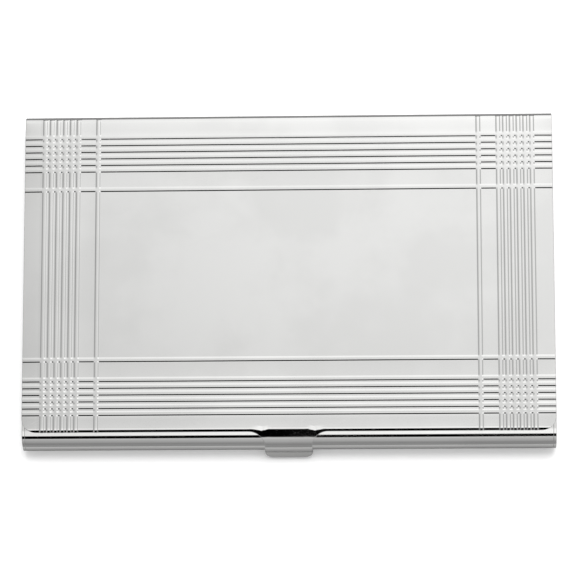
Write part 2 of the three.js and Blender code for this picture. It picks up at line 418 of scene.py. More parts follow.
class Blank:
    """A piece of metal being shaped: a mesh, with the bench operations that the pieces share."""

    def __init__(self) -> None:
        """Starts with nothing."""
        self.mesh: BMesh = bmesh.new()

    def point(self, x: float, y: float, z: float) -> BMVert:
        """Marks the first point of an outline.

        Args:
            x: Its place along X.
            y: Its place along Y.
            z: Its height.

        Returns:
            The new point.
        """
        return self.mesh.verts.new((x, y, z))

    def draw_to(self, start: BMVert, y: float, z: float) -> BMVert:
        """Draws a straight line across the case from a point.

        Args:
            start: Where the line starts.
            y: Where it ends, along Y.
            z: Where it ends, in height.

        Returns:
            The point at its end.
        """
        end = bmesh.ops.extrude_vert_indiv(self.mesh, verts=[start])["verts"][0]
        end.co = Vector((start.co.x, y, z))
        return end

    def turn_to(self, start: BMVert, centre: Vector, degrees: float, steps: int) -> BMVert:
        """Draws an arc about an axis along X from a point.

        Args:
            start: Where the arc starts.
            centre: A point on its axis.
            degrees: How far it turns, positive from +Y towards +Z.
            steps: Number of segments.

        Returns:
            The point at its end.
        """
        made = bmesh.ops.spin(
            self.mesh, geom=[start], cent=centre, axis=X_AXIS, angle=math.radians(degrees), steps=steps
        )
        return next(part for part in made["geom_last"] if isinstance(part, BMVert))

    def close(self) -> BMFace:
        """Fills the closed outline that has been drawn.

        Returns:
            The flat face.
        """
        bmesh.ops.remove_doubles(self.mesh, verts=self.mesh.verts[:], dist=0.001 * MM)
        bmesh.ops.contextual_create(self.mesh, geom=self.mesh.edges[:])
        return self.mesh.faces[:][0]

    def draw_across(self, places: Sequence[float]) -> None:
        """Draws the outline out along X into a sheet.

        Args:
            places: The places along X of the sheet's lines. The outline is moved to the first.
        """
        row = self.mesh.edges[:]
        for point in self.mesh.verts:
            point.co.x = places[0]
        for before, after in zip(places, places[1:]):
            made = bmesh.ops.extrude_edge_only(self.mesh, edges=row)["geom"]
            row = [part for part in made if isinstance(part, BMEdge)]
            moved = [part for part in made if isinstance(part, BMVert)]
            bmesh.ops.translate(self.mesh, verts=moved, vec=(after - before, 0, 0))

    def remove_faces(self, is_waste: Callable[[Vector], bool]) -> None:
        """Cuts away the faces whose middles are waste.

        Args:
            is_waste: Says whether a face with its middle there goes.
        """
        waste = [face for face in self.mesh.faces if is_waste(face.calc_center_median())]
        bmesh.ops.delete(self.mesh, geom=waste, context="FACES")

    def face_outwards(self, inside: Vector) -> None:
        """Turns an open sheet's faces away from a point.

        Args:
            inside: A point on the side that the first face must not face.
        """
        bmesh.ops.recalc_face_normals(self.mesh, faces=self.mesh.faces[:])
        largest = max(self.mesh.faces, key=lambda face: face.calc_area())
        if largest.normal.dot(largest.calc_center_median() - inside) < 0:
            bmesh.ops.reverse_faces(self.mesh, faces=self.mesh.faces[:])

    def thicken(self, thickness: float) -> None:
        """Gives an open sheet its thickness, on the side away from its normals.

        Args:
            thickness: How thick the sheet becomes.
        """
        bmesh.ops.solidify(self.mesh, geom=self.mesh.faces[:], thickness=thickness)
        bmesh.ops.recalc_face_normals(self.mesh, faces=self.mesh.faces[:])

    def lift_out(self, depth: float) -> None:
        """Makes the one flat face into a plate along X.

        Args:
            depth: The plate's thickness, positive towards +X.
        """
        made = bmesh.ops.extrude_face_region(self.mesh, geom=self.mesh.faces[:])["geom"]
        moved = [part for part in made if isinstance(part, BMVert)]
        bmesh.ops.translate(self.mesh, verts=moved, vec=(depth, 0, 0))
        bmesh.ops.recalc_face_normals(self.mesh, faces=self.mesh.faces[:])

    def edges_over(self, degrees: float) -> list[BMEdge]:
        """Finds the sharp edges.

        Args:
            degrees: The smallest angle between two faces that counts.

        Returns:
            The edges whose faces meet at more than that.
        """
        limit = math.radians(degrees)
        return [edge for edge in self.mesh.edges if edge.calc_face_angle(0) > limit]

    def ease(self, edges: Sequence[BMEdge], radius: float, segments: int = 3) -> None:
        """Rounds edges over.

        Args:
            edges: The edges to round.
            radius: How far back each one is cut.
            segments: Number of segments across the round.
        """
        bmesh.ops.bevel(
            self.mesh,
            geom=edges,
            offset=radius,
            offset_type="OFFSET",
            segments=segments,
            profile=0.5,
            affect="EDGES",
            clamp_overlap=False,
            loop_slide=True,
            material=-1,
        )

    def drill(self, faces: Sequence[BMFace], centre: Vector, axis: Vector, radius: float) -> None:
        """Drills a round hole through flat faces that the axis crosses.

        Args:
            faces: The faces, one for each side that the drill passes.
            centre: A point on the hole's axis.
            axis: The hole's direction.
            radius: The hole's radius.
        """
        turn = Vector((0, 0, 1)).rotation_difference(axis).to_matrix().to_4x4()
        rims: list[BMEdge] = []
        for face in list(faces):
            along = (face.calc_center_median() - centre).dot(axis)
            place = Matrix.Translation(centre + axis * along) @ turn
            ring = bmesh.ops.create_circle(self.mesh, segments=32, radius=radius, matrix=place)["verts"]
            rim = list(dict.fromkeys(edge for point in ring for edge in point.link_edges))
            border = list(face.edges)
            normal = face.normal.copy()
            bmesh.ops.delete(self.mesh, geom=[face], context="FACES_ONLY")
            bmesh.ops.triangle_fill(self.mesh, edges=border + rim, use_beauty=True, normal=normal)
            rims += rim
        if len(faces) > 1:
            bmesh.ops.bridge_loops(self.mesh, edges=rims)
            bmesh.ops.recalc_face_normals(self.mesh, faces=self.mesh.faces[:])

    def drill_sheet(self, centre: Vector, radius: float) -> None:
        """Drills a round hole along Y through the one face of an open sheet that is nearest.

        Args:
            centre: The hole's middle.
            radius: The hole's radius.
        """
        pad = min(self.mesh.faces, key=lambda face: (face.calc_center_median() - centre).length)
        self.drill([pad], centre, Y_AXIS, radius)

    def finish(self, name: str, material: bpy.types.Material) -> bpy.types.Object:
        """Makes the object, smooth, with normals that lean to the larger faces so that flats stay flat.

        Args:
            name: The piece's name.
            material: Its finish.

        Returns:
            The finished piece, at the origin.
        """
        self.mesh.normal_update()
        areas = {face: face.calc_area() for face in self.mesh.faces}
        normals = [
            sum((face.normal * areas[face] for face in point.link_faces), Vector()).normalized()
            for point in self.mesh.verts
        ]
        data = bpy.data.meshes.new(name)
        self.mesh.to_mesh(data)
        self.mesh.free()
        data.shade_smooth()
        data.normals_split_custom_set_from_vertices(normals)
        data.materials.append(material)
        piece = bpy.data.objects.new(name, data)
        bpy.context.scene.collection.objects.link(piece)
        return piece


def turned_piece(profile: Iterable[tuple[float, float]], centre: Vector, axis: Vector, steps: int) -> Blank:
    """Turns a solid on a lathe.

    Args:
        profile: Points of (radius, distance along the axis), from the axis and back to it.
        centre: The point on the axis that distances are counted from.
        axis: The lathe's axis.
        steps: Facets round the piece.

    Returns:
        The closed solid.
    """
    blank = Blank()
    across = Vector((0, 0, 1))
    points = [centre + across * radius + axis * along for radius, along in profile]
    last = blank.mesh.verts.new(points[0])
    for place in points[1:]:
        last = bmesh.ops.extrude_vert_indiv(blank.mesh, verts=[last])["verts"][0]
        last.co = place
    bmesh.ops.spin(
        blank.mesh,
        geom=blank.mesh.verts[:] + blank.mesh.edges[:],
        cent=centre,
        axis=axis,
        angle=math.tau,
        steps=steps,
        use_merge=True,
    )
    bmesh.ops.remove_doubles(blank.mesh, verts=blank.mesh.verts[:], dist=0.001 * MM)
    bmesh.ops.recalc_face_normals(blank.mesh, faces=blank.mesh.faces[:])
    return blank


def smooth_step(low: float, high: float, value: float) -> float:
    """Rises smoothly from 0 to 1.

    Args:
        low: Where the rise starts.
        high: Where it ends.
        value: Where it is read.

    Returns:
        The height there, from 0 to 1.
    """
    share = min(1.0, max(0.0, (value - low) / (high - low)))
    return share * share * (3 - 2 * share)


# ---- Sub-assemblies ----


@dataclass
class Part:
    """What every sub-assembly has.

    Attributes:
        layout: The places that the pieces share.
        material: The finish that it is dressed in.
    """

    layout: Layout
    material: bpy.types.Material

    def dress(self, blank: Blank, name: str, body: Body, node: str, slot: str) -> bpy.types.Object:
        """Finishes a shaped blank and puts it in its place on the case.

        Args:
            blank: The shaped metal.
            name: The piece's name.
            body: The body that it rides on.
            node: The plain solid that it stands for.
            slot: The record's material slot; not used.

        Returns:
            The finished piece.
        """
        piece = blank.finish(name, self.material)
        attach(piece, body.value)
        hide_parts(node)
        log.info("%s: %d faces, rides on %s", name, len(piece.data.polygons), body.value)
        return piece


@dataclass
class BaseTray(Part):
    """The tray: a flat bottom, a rolled front edge with a lip, and a low rear wall.

    Attributes:
        bend: Outer radius of the bend into the rear wall.
        wall_height: Height of the rear wall.
        lip: How far the rolled front edge runs back over the cards.
        notch_x: Where the wall's notches for the lugs start, along X.
        notch_z: Height of the notches' floors.
        rivet_x: Distance of the two rivet holes from the middle.
        rivet_z: Their height.
        rivet_pad: Half the side of the square of sheet that each hole is drilled in.
        rivet_hole: Radius of the holes.
        edge: Rounding of the sheet's edges.
    """

    bend: float = 0.8 * MM
    wall_height: float = 6.2 * MM
    lip: float = 3.5 * MM
    notch_x: float = 45.4 * MM
    notch_z: float = 4.7 * MM
    rivet_x: float = 10 * MM
    rivet_z: float = 3.2 * MM
    rivet_pad: float = 0.8 * MM
    rivet_hole: float = 0.55 * MM
    edge: float = 0.07 * MM

    def mesh(self) -> Blank:
        """Rolls and bends the sheet.

        Returns:
            The shaped sheet.
        """
        at = self.layout
        blank = Blank()
        last = blank.point(0, at.wall_back, self.wall_height)
        for z in (self.notch_z, self.rivet_z + self.rivet_pad, self.rivet_z - self.rivet_pad, self.bend):
            last = blank.draw_to(last, at.wall_back, z)
        last = blank.turn_to(last, Vector((0, at.wall_back - self.bend, self.bend)), -90, 9)
        last = blank.draw_to(last, at.roll.y, 0)
        last = blank.turn_to(last, at.roll, -180, 48)
        blank.draw_to(last, at.roll.y + self.lip, at.lid_under)
        blank.draw_across(self.lines())
        blank.remove_faces(self.is_notch)
        for sign in (-1, 1):
            self.drill_rivet_hole(blank, sign * self.rivet_x)
        blank.face_outwards(Vector((0, 0, at.height / 2)))
        blank.thicken(at.sheet)
        blank.ease(blank.edges_over(60), self.edge)
        return blank

    def lines(self) -> list[float]:
        """Places the sheet's lines along X, which its notches and holes need."""
        pads = [sign * self.rivet_x + step * self.rivet_pad for sign in (-1, 1) for step in (-1, 1)]
        ends = [sign * place for sign in (-1, 1) for place in (self.layout.tray_half, self.notch_x)]
        return sorted(pads + ends)

    def is_notch(self, place: Vector) -> bool:
        """Says whether a point of the rear wall is cut away for a lug."""
        on_wall = place.y > self.layout.wall_back - 0.01 * MM and place.z > self.bend
        return on_wall and abs(place.x) > self.notch_x and place.z > self.notch_z

    def drill_rivet_hole(self, blank: Blank, x: float) -> None:
        """Drills one rivet hole in the wall.

        Args:
            blank: The sheet, before it has its thickness.
            x: The hole's place along X.
        """
        blank.drill_sheet(Vector((x, self.layout.wall_back, self.rivet_z)), self.rivet_hole)

    def build(self) -> None:
        """Makes the tray."""
        self.dress(self.mesh(), "tray", Body.BASE, "base_tray", "polished_nickel")


@dataclass
class EndPlate(Part):
    """One of the plates that close the tray's ends and hold the hinge pins.

    Attributes:
        side: The end that it closes.
        rear_radius: Radius of its rear end, which turns clear inside the spine.
        stop: Angle of the shoulder that the spine meets when the lid is open.
        hole: Radius of the hole for the pin.
        lead: How far in front of the hinge axis its top edge ends.
        edge: Rounding of its outline.
    """

    side: Side = Side.LEFT
    rear_radius: float = 2.9 * MM
    stop: float = -112.0
    hole: float = 0.925 * MM
    lead: float = 1 * MM
    edge: float = 0.07 * MM

    def mesh(self) -> Blank:
        """Cuts the plate out.

        Returns:
            The shaped plate.
        """
        at = self.layout
        blank = Blank()
        inner = self.side.value * at.tray_half
        shoulder = math.radians(self.stop)
        reach = at.pivot.z / math.tan(shoulder)
        first = blank.point(inner, at.roll.y, at.lid_under)
        last = blank.turn_to(first, at.roll, 180, 48)
        last = blank.draw_to(last, at.pivot.y - reach, 0)
        last = blank.draw_to(
            last,
            at.pivot.y + self.rear_radius * math.cos(shoulder),
            at.pivot.z + self.rear_radius * math.sin(shoulder),
        )
        last = blank.turn_to(last, at.pivot, 90 - self.stop, 44)
        last = blank.draw_to(last, at.pivot.y - self.lead, at.lid_under)
        blank.draw_to(last, first.co.y, first.co.z)
        blank.close()
        blank.lift_out(self.side.value * at.sheet)
        blank.ease(blank.edges_over(60), self.edge)
        faces = sorted(blank.mesh.faces, key=lambda face: face.calc_area())[-2:]
        blank.drill(faces, at.pivot, X_AXIS, self.hole)
        return blank

    def build(self) -> None:
        """Makes the plate."""
        word = self.side.word
        self.dress(self.mesh(), f"{word}_end_plate", Body.BASE, f"end_plate_{word}", "polished_nickel")


@dataclass
class HingeLug(Part):
    """One of the lugs inside the spine: a foot, a disc and two flats for the spring.

    Attributes:
        side: The end that it stands at.
        inner: Distance of its inner face from the middle of the case.
        thick: Its thickness.
        foot: How far its foot runs forward from the hinge axis.
        radius: Radius of its disc.
        flat: Y of the flat that the spring presses on with the lid shut.
        flat_high: Height of that flat's upper end.
        flat_low: Height of its lower end.
        foot_deep: Depth of the foot's front end below the lid.
        step: How far in front of the flat the foot's lower edge ends.
        sole_z: Height of the lug's lowest edge.
        sole: Where that edge starts and ends along Y, from the hinge axis.
        corner: Distance from the hinge axis of the corner where the flat for the open lid ends.
        corner_turn: Direction of that corner from the axis, in degrees.
        disc_turn: Direction from the axis in which the disc starts, in degrees.
        disc_sweep: How far round the axis the disc goes, in degrees.
        lead: How far in front of the hinge axis the outline meets the lid.
        bore: Radius of its bore.
        edge: Rounding of its outline.
    """

    side: Side = Side.LEFT
    inner: float = 45.7 * MM
    thick: float = 0.7 * MM
    foot: float = 8.5 * MM
    radius: float = 2.55 * MM
    flat: float = 22.97 * MM
    flat_high: float = 5.1 * MM
    flat_low: float = 1.9 * MM
    foot_deep: float = 1.0 * MM
    step: float = 0.4 * MM
    sole_z: float = 0.1 * MM
    sole: tuple[float, float] = (-2.3 * MM, 0.3 * MM)
    corner: float = 3.34 * MM
    corner_turn: float = -61.0
    disc_turn: float = -55.0
    disc_sweep: float = 145.0
    lead: float = 0.2 * MM
    bore: float = 0.95 * MM
    edge: float = 0.06 * MM

    def mesh(self) -> Blank:
        """Cuts the lug out.

        Returns:
            The shaped lug.
        """
        at = self.layout
        blank = Blank()
        corner = self.from_axis(self.corner_turn, self.corner)
        disc = self.from_axis(self.disc_turn, self.radius)
        first = blank.point(self.side.value * self.inner, at.pivot.y - self.foot, at.lid_under)
        last = first
        for y, z in (
            (at.pivot.y - self.foot, at.lid_under - self.foot_deep),
            (self.flat - self.step, self.flat_high),
            (self.flat, self.flat_high),
            (self.flat, self.flat_low),
            (at.pivot.y + self.sole[0], self.sole_z),
            (at.pivot.y + self.sole[1], self.sole_z),
            (corner.y, corner.z),
            (disc.y, disc.z),
        ):
            last = blank.draw_to(last, y, z)
        last = blank.turn_to(last, at.pivot, self.disc_sweep, 36)
        last = blank.draw_to(last, at.pivot.y - self.lead, at.lid_under)
        blank.draw_to(last, first.co.y, first.co.z)
        blank.close()
        blank.lift_out(self.side.value * self.thick)
        blank.ease(blank.edges_over(60), self.edge)
        faces = sorted(blank.mesh.faces, key=lambda face: face.calc_area())[-2:]
        blank.drill(faces, at.pivot, X_AXIS, self.bore)
        return blank

    def from_axis(self, degrees: float, distance: float) -> Vector:
        """Places a point round the hinge axis.

        Args:
            degrees: Its direction, from +Y towards +Z.
            distance: Its distance from the axis.

        Returns:
            The point, at X = 0.
        """
        turn = math.radians(degrees)
        return Vector((0, math.cos(turn), math.sin(turn))) * distance + self.layout.pivot

    def build(self) -> None:
        """Makes the lug."""
        word = self.side.word
        self.dress(self.mesh(), f"{word}_lug", Body.LID, f"hinge_lug_{word}", "satin_steel")


@dataclass
class HingePin(Part):
    """One of the two pins, flush in its end plate and headed inside its lug.

    Attributes:
        side: The end that it holds.
        radius: Radius of its shaft.
        head: Radius of its inner head.
        head_face: Distance of the head's bearing face from the middle of the case.
        head_thick: The head's thickness.
        crown: How much its two ends are domed.
    """

    side: Side = Side.LEFT
    radius: float = 0.9 * MM
    head: float = 1.5 * MM
    head_face: float = 45.6 * MM
    head_thick: float = 0.4 * MM
    crown: float = 0.06 * MM

    def mesh(self) -> Blank:
        """Turns the pin.

        Returns:
            The shaped pin.
        """
        end = self.layout.half_width
        inner = self.head_face - self.head_thick
        profile = [
            (0, inner),
            (self.head * 0.6, inner + self.crown * 0.4),
            (self.head * 0.9, inner + self.crown * 1.4),
            (self.head, inner + self.crown * 3),
            (self.head, self.head_face - self.crown),
            (self.head - self.crown, self.head_face),
            (self.radius, self.head_face),
            (self.radius, end - self.crown),
            (self.radius - self.crown * 0.4, end - self.crown * 0.4),
            (self.radius - self.crown * 1.4, end),
            (0, end),
        ]
        return turned_piece(profile, self.layout.pivot, X_AXIS * self.side.value, 48)

    def build(self) -> None:
        """Makes the pin."""
        word = self.side.word
        self.dress(self.mesh(), f"{word}_hinge_pin", Body.BASE, f"hinge_pin_{word}", "satin_steel")


@dataclass
class LeafSpring(Part):
    """The strip behind the rear wall, whose bowed ends press on the lugs.

    Attributes:
        thick: The strip's thickness.
        low: Height of its lower edge.
        high: Height of its upper edge.
        bow: How far its ends stand back from the wall.
        flat_half: Half the length that lies flat against the wall.
        half: Half its length.
        rivet_x: Distance of its two holes from the middle.
        rivet_pad: Half the width of the strip's cell round each hole.
        rivet_hole: Radius of the holes.
        edge: Rounding of its edges.
        bow_lines: Mesh lines along each bowed end.
    """

    thick: float = 0.3 * MM
    low: float = 1.6 * MM
    high: float = 4.8 * MM
    bow: float = 0.35 * MM
    flat_half: float = 12 * MM
    half: float = 46.3 * MM
    rivet_x: float = 10 * MM
    rivet_pad: float = 0.9 * MM
    rivet_hole: float = 0.55 * MM
    edge: float = 0.05 * MM
    bow_lines: int = 24

    def mesh(self) -> Blank:
        """Cuts, drills and bows the strip.

        Returns:
            The shaped strip.
        """
        blank = Blank()
        back = self.layout.wall_back + self.thick
        start = blank.point(0, back, self.high)
        blank.draw_to(start, back, self.low)
        blank.draw_across(self.lines())
        for sign in (-1, 1):
            centre = Vector((sign * self.rivet_x, back, (self.low + self.high) / 2))
            blank.drill_sheet(centre, self.rivet_hole)
        for point in blank.mesh.verts:
            past = max(0.0, abs(point.co.x) - self.flat_half) / (self.half - self.flat_half)
            point.co.y += self.bow * past * past
        blank.face_outwards(Vector((0, 0, self.low)))
        blank.thicken(self.thick)
        blank.ease(blank.edges_over(60), self.edge, 2)
        return blank

    def lines(self) -> list[float]:
        """Places the strip's lines along X, close together where it is bowed."""
        step = (self.half - self.flat_half) / self.bow_lines
        right = [self.rivet_x - self.rivet_pad, self.rivet_x + self.rivet_pad]
        right += [self.flat_half + step * count for count in range(self.bow_lines + 1)]
        return sorted([-place for place in right] + right)

    def build(self) -> None:
        """Makes the spring."""
        self.dress(self.mesh(), "spring", Body.BASE, "leaf_spring", "spring_steel")


@dataclass
class SpringRivet(Part):
    """One of the two rivets that hold the spring to the rear wall.

    Attributes:
        side: The end that it is nearer to.
        x: Its distance from the middle.
        z: Its height.
        shaft: Radius of its shaft.
        front_head: Radius of the low head inside the card space.
        front_thick: That head's thickness.
        back_head: Radius of the peened head behind the spring.
        back_thick: That head's thickness.
        spring: Thickness of the spring under the peened head.
    """

    side: Side = Side.LEFT
    x: float = 10 * MM
    z: float = 3.2 * MM
    shaft: float = 0.5 * MM
    front_head: float = 1.0 * MM
    front_thick: float = 0.25 * MM
    back_head: float = 0.8 * MM
    back_thick: float = 0.2 * MM
    spring: float = 0.3 * MM

    def mesh(self) -> Blank:
        """Turns the rivet.

        Returns:
            The shaped rivet.
        """
        back = self.layout.wall_back + self.spring
        front = self.layout.wall_back - self.layout.sheet
        domes = [(0.0, 1.0), (0.4, 0.93), (0.7, 0.7), (0.9, 0.38), (1.0, 0.0)]
        low = [(self.front_head * out, front - self.front_thick * up) for out, up in domes]
        high = [(self.back_head * out, back + self.back_thick * up) for out, up in reversed(domes)]
        profile = [*low, (self.shaft, front), (self.shaft, back), *high]
        return turned_piece(profile, Vector((self.side.value * self.x, 0, self.z)), Y_AXIS, 36)

    def build(self) -> None:
        """Makes the rivet."""
        word = self.side.word
        self.dress(self.mesh(), f"{word}_spring_rivet", Body.BASE, f"spring_rivet_{word}", "satin_steel")


@dataclass(frozen=True)
class Plaid:
    """The stamped border: a group of ribs and a lone one along each side, crossing at the corners.

    Attributes:
        pitch: Distance between ribs in a group.
        count: Ribs in a group.
        width: A rib's width, between the middles of its walls.
        wall: Width of a wall.
        rounding: Share of a wall's width that is rounded, at its foot and again at its crest.
        height: Height of the ribs.
        gap: From the group's last rib to the lone one.
        corner: Rounding of the corners where ribs cross.
        run_out: Where the ribs that run along Y fade out, as distances past the start of the spine's bend.
        from_end: First rib's distance from each end of the lid.
        from_front: First rib's distance from the lid's front edge.
        from_pivot: First rib's distance from the hinge axis.
    """

    pitch: float = 1.2 * MM
    count: int = 6
    width: float = 0.66 * MM
    wall: float = 0.3 * MM
    rounding: float = 0.2
    height: float = 0.12 * MM
    gap: float = 3.54 * MM
    corner: float = 0.14 * MM
    run_out: tuple[float, float] = (0.5 * MM, 1.0 * MM)
    from_end: float = 3.6 * MM
    from_front: float = 3.4 * MM
    from_pivot: float = 0.7 * MM

    def offsets(self, first: float) -> list[float]:
        """Places one border's ribs.

        Args:
            first: The first rib's distance from the edge.

        Returns:
            Each rib's distance from the edge.
        """
        group = [first + self.pitch * count for count in range(self.count)]
        return [*group, group[-1] + self.gap]

    def lines(self, centre: float) -> list[float]:
        """Places the mesh lines that a rib's section needs.

        Args:
            centre: The rib's middle.

        Returns:
            The places of the lines.
        """
        steps = [self.width / 2 + self.wall * share for share in (-0.5, -0.3, 0.3, 0.5)]
        return [centre + sign * step for sign in (-1, 1) for step in steps]

    def into_rib(self, place: float, centres: Sequence[float]) -> float:
        """Measures how far a place is past the nearest rib's wall.

        Args:
            place: A place across the ribs.
            centres: The ribs' middles.

        Returns:
            The distance, positive inside a rib and negative between ribs.
        """
        return self.width / 2 - min(abs(place - centre) for centre in centres)

    def rise(self, across: float, along: float) -> float:
        """Gives the surface's height where two directions of rib may cross.

        Args:
            across: How far the place is into a rib that runs along Y.
            along: How far it is into a rib that runs along X.

        Returns:
            The height above the ground between the ribs.
        """
        a, b = across + self.corner, along + self.corner
        inside = math.hypot(max(a, 0.0), max(b, 0.0)) + min(max(a, b), 0.0) - self.corner
        share = min(1.0, max(0.0, inside / self.wall + 0.5))
        edge = self.rounding
        if min(share, 1 - share) >= edge:
            return self.height * (share - edge / 2) / (1 - edge)
        bend = min(share, 1 - share) ** 2 / (2 * edge * (1 - edge))
        return self.height * (bend if share < 0.5 else 1 - bend)


@dataclass(frozen=True)
class Bend:
    """One stretch of a former.

    Attributes:
        length: Its length, along the sheet's outer face.
        degrees: How far it turns the sheet down.
        steps: Mesh rows along it.
    """

    length: float
    degrees: float
    steps: int


@dataclass(frozen=True)
class Former:
    """The shape that an edge of a flat sheet is pressed over, from a line across the case outwards.

    Attributes:
        start: Y of the line where the first bend starts.
        outwards: The sign of Y away from the sheet.
        bends: Its stretches, in order.
    """

    start: float
    outwards: int
    bends: tuple[Bend, ...]

    def rows(self) -> list[float]:
        """Places the flat sheet's mesh rows, as distances past the first line."""
        rows = [0.0]
        for bend in self.bends:
            rows += [rows[-1] + bend.length * (step + 1) / bend.steps for step in range(bend.steps)]
        return rows

    def press(self, along: float, depth: float) -> tuple[float, float]:
        """Presses one point of the flat sheet to the former.

        Args:
            along: The point's distance past the first line, on the flat sheet.
            depth: Its depth below the sheet's outer face.

        Returns:
            Its distance out from the first line, and its height above the outer face there.
        """
        out = up = angle = 0.0
        for bend in self.bends:
            length = min(bend.length, max(along, 0.0))
            turn = math.radians(bend.degrees) * length / bend.length
            chord = length * (1.0 if abs(turn) < 1e-6 else math.sin(turn / 2) / (turn / 2))
            out += chord * math.cos(angle + turn / 2)
            up -= chord * math.sin(angle + turn / 2)
            angle += turn
            along -= length
        return out - depth * math.sin(angle), up - depth * math.cos(angle)


@dataclass(frozen=True)
class ThumbTab:
    """The tab's blank and the former that it is pressed over.

    Attributes:
        half: Half its width.
        fillet: Radius of the fillets at its root.
        corner: Radius of its two lower corners.
        blend: How far behind the lid's edge the root's fillets are eased into the sheet.
        inset: How far in from the tab's sides they are eased out.
        coined: Share of the sheet's thickness that coining takes away.
        crease: How far behind the lid's edge the sheet starts to bend.
        bends: The bends of the lid's front edge and the tab.
    """

    half: float = 4.2 * MM
    fillet: float = 2.75 * MM
    corner: float = 1.45 * MM
    blend: float = 2.2 * MM
    inset: float = 0.75 * MM
    coined: float = 0.4
    crease: float = 0.65 * MM
    bends: tuple[Bend, ...] = (
        Bend(0.1 * MM, 19, 1),
        Bend(1.6 * MM, 9, 7),
        Bend(4.4 * MM, 62, 20),
        Bend(0.2 * MM, 0, 1),
        Bend(0.24 * MM, -27, 3),
        Bend(1.5 * MM, 0, 3),
    )


@dataclass
class LidCover(Part):
    """The lid: a stamped top, the spine bent down and rolled under the hinge, and the thumb tab.

    Attributes:
        plaid: The stamped border.
        tab: The thumb tab.
        corner: Radius of the two front corners.
        crown: How much the panel stands above the lid's edges.
        crown_width: Width of the strip along each edge that falls away.
        spine_bend: Outer radius of the bend from the top to the spine.
        spine_turn: How far the spine's lower part is rolled under, in degrees.
        lug_clear: Distance from the middle where the spine is cut back for the lugs.
        plate_clear: Distance from the middle where it is cut back for the end plates.
        lug_cut: How far round the roll the cut for the lugs starts, in degrees.
        edge: Rounding of the sheet's edges.
        finest: Spacing of the mesh lines where the sheet is crowned.
    """

    plaid: Plaid = field(default_factory=Plaid)
    tab: ThumbTab = field(default_factory=ThumbTab)
    corner: float = 2.6 * MM
    crown: float = 0.1 * MM
    crown_width: float = 5.0 * MM
    spine_bend: float = 1.2 * MM
    spine_turn: float = 120.0
    lug_clear: float = 45.6 * MM
    plate_clear: float = 46.45 * MM
    lug_cut: float = 45.0
    edge: float = 0.09 * MM
    finest: float = 0.8 * MM

    @property
    def rib_columns(self) -> list[float]:
        """Middles of the ribs that run along Y."""
        offsets = self.plaid.offsets(self.plaid.from_end)
        return [sign * (self.layout.half_width - offset) for sign in (-1, 1) for offset in offsets]

    @property
    def rib_rows(self) -> list[float]:
        """Middles of the ribs that run along X."""
        front = [self.layout.lid_front + offset for offset in self.plaid.offsets(self.plaid.from_front)]
        back = [self.layout.pivot.y - offset for offset in self.plaid.offsets(self.plaid.from_pivot)]
        return front + back

    @property
    def spine(self) -> Former:
        """The former of the lid's rear edge."""
        at = self.layout
        bend = Bend(self.spine_bend * math.pi / 2, 90, 10)
        wall = Bend(at.height - self.spine_bend - at.pivot.z, 0, 1)
        roll = Bend(at.pivot.z * math.radians(self.spine_turn), self.spine_turn, 24)
        return Former(at.spine_back - self.spine_bend, 1, (bend, wall, roll))

    @property
    def nose(self) -> Former:
        """The former of the lid's front edge and the thumb tab."""
        return Former(self.layout.lid_front + self.tab.crease, -1, self.tab.bends)

    def filled(self, places: Iterable[float], flat: float, middle: float) -> list[float]:
        """Adds lines where the crowned border would otherwise be too coarse.

        Args:
            places: The lines that the shape needs.
            flat: Half the length of the plain panel, where no lines are added.
            middle: The panel's middle.

        Returns:
            All lines, in order.
        """
        ordered = sorted(set(round(place, 8) for place in places))
        lines = [ordered[0]]
        for before, after in zip(ordered, ordered[1:]):
            on_panel = max(abs(before - middle), abs(after - middle)) < flat
            count = 1 if on_panel else max(1, math.ceil((after - before) / self.finest - 1e-6))
            lines += [before + (after - before) * (step + 1) / count for step in range(count)]
        return lines

    def columns(self) -> list[float]:
        """Places the lid's mesh lines along X."""
        half = self.layout.half_width
        right = [half, self.plate_clear, self.lug_clear, 0.0]
        right += [self.tab.half - inwards for inwards in (0.0, self.tab.corner, self.tab.half * 2 / 3)]
        right += [self.tab.half - self.tab.inset * share / 3 for share in (1, 2, 3)]
        right += [self.tab.half + self.tab.fillet * share / 6 for share in range(1, 7)]
        right.append(half - self.corner)
        ribs = [line for centre in self.rib_columns for line in self.plaid.lines(centre)]
        return self.filled([*ribs, *right, *(-place for place in right)], half - self.crown_width * 1.1, 0.0)

    def rows(self) -> list[float]:
        """Places the lid's mesh lines along Y on the flat sheet, from the front edge to the spine's end."""
        front, spine = self.layout.lid_front, self.spine
        ribs = [line for centre in self.rib_rows for line in self.plaid.lines(centre)]
        creases = [front + self.tab.crease - along for along in self.nose.rows()[:2]]
        middle = (front + spine.start) / 2
        eased = [front + self.tab.blend * share / 5 for share in range(5)]
        lines = [*ribs, *creases, *eased, front + self.corner * 0.5, spine.start]
        top = self.filled(lines, (spine.start - front) / 2 - self.crown_width * 1.1, middle)
        return top + [spine.start + along for along in spine.rows()[1:]]

    def mesh(self) -> Blank:
        """Shapes the lid from a flat sheet.

        Returns:
            The shaped lid.
        """
        blank = self.flat_sheet()
        self.round_front_corners(blank)
        self.draw_tab(blank)
        blank.remove_faces(self.is_cut_back)
        blank.face_outwards(Vector((0, 0, 0)))
        blank.thicken(self.layout.sheet)
        blank.ease(blank.edges_over(50), self.edge)
        self.stamp(blank)
        self.press(blank)
        return blank

    def is_cut_back(self, place: Vector) -> bool:
        """Says whether the flat sheet is cut back for the end plates or the lugs.

        Args:
            place: A place on the flat sheet.

        Returns:
            Whether it is cut away there.
        """
        past_wall = place.y - self.spine.start - sum(bend.length for bend in self.spine.bends[:2])
        roll_to_cut = self.layout.pivot.z * math.radians(self.lug_cut)
        past_plate = abs(place.x) > self.plate_clear and past_wall > 0
        return past_plate or (abs(place.x) > self.lug_clear and past_wall > roll_to_cut)

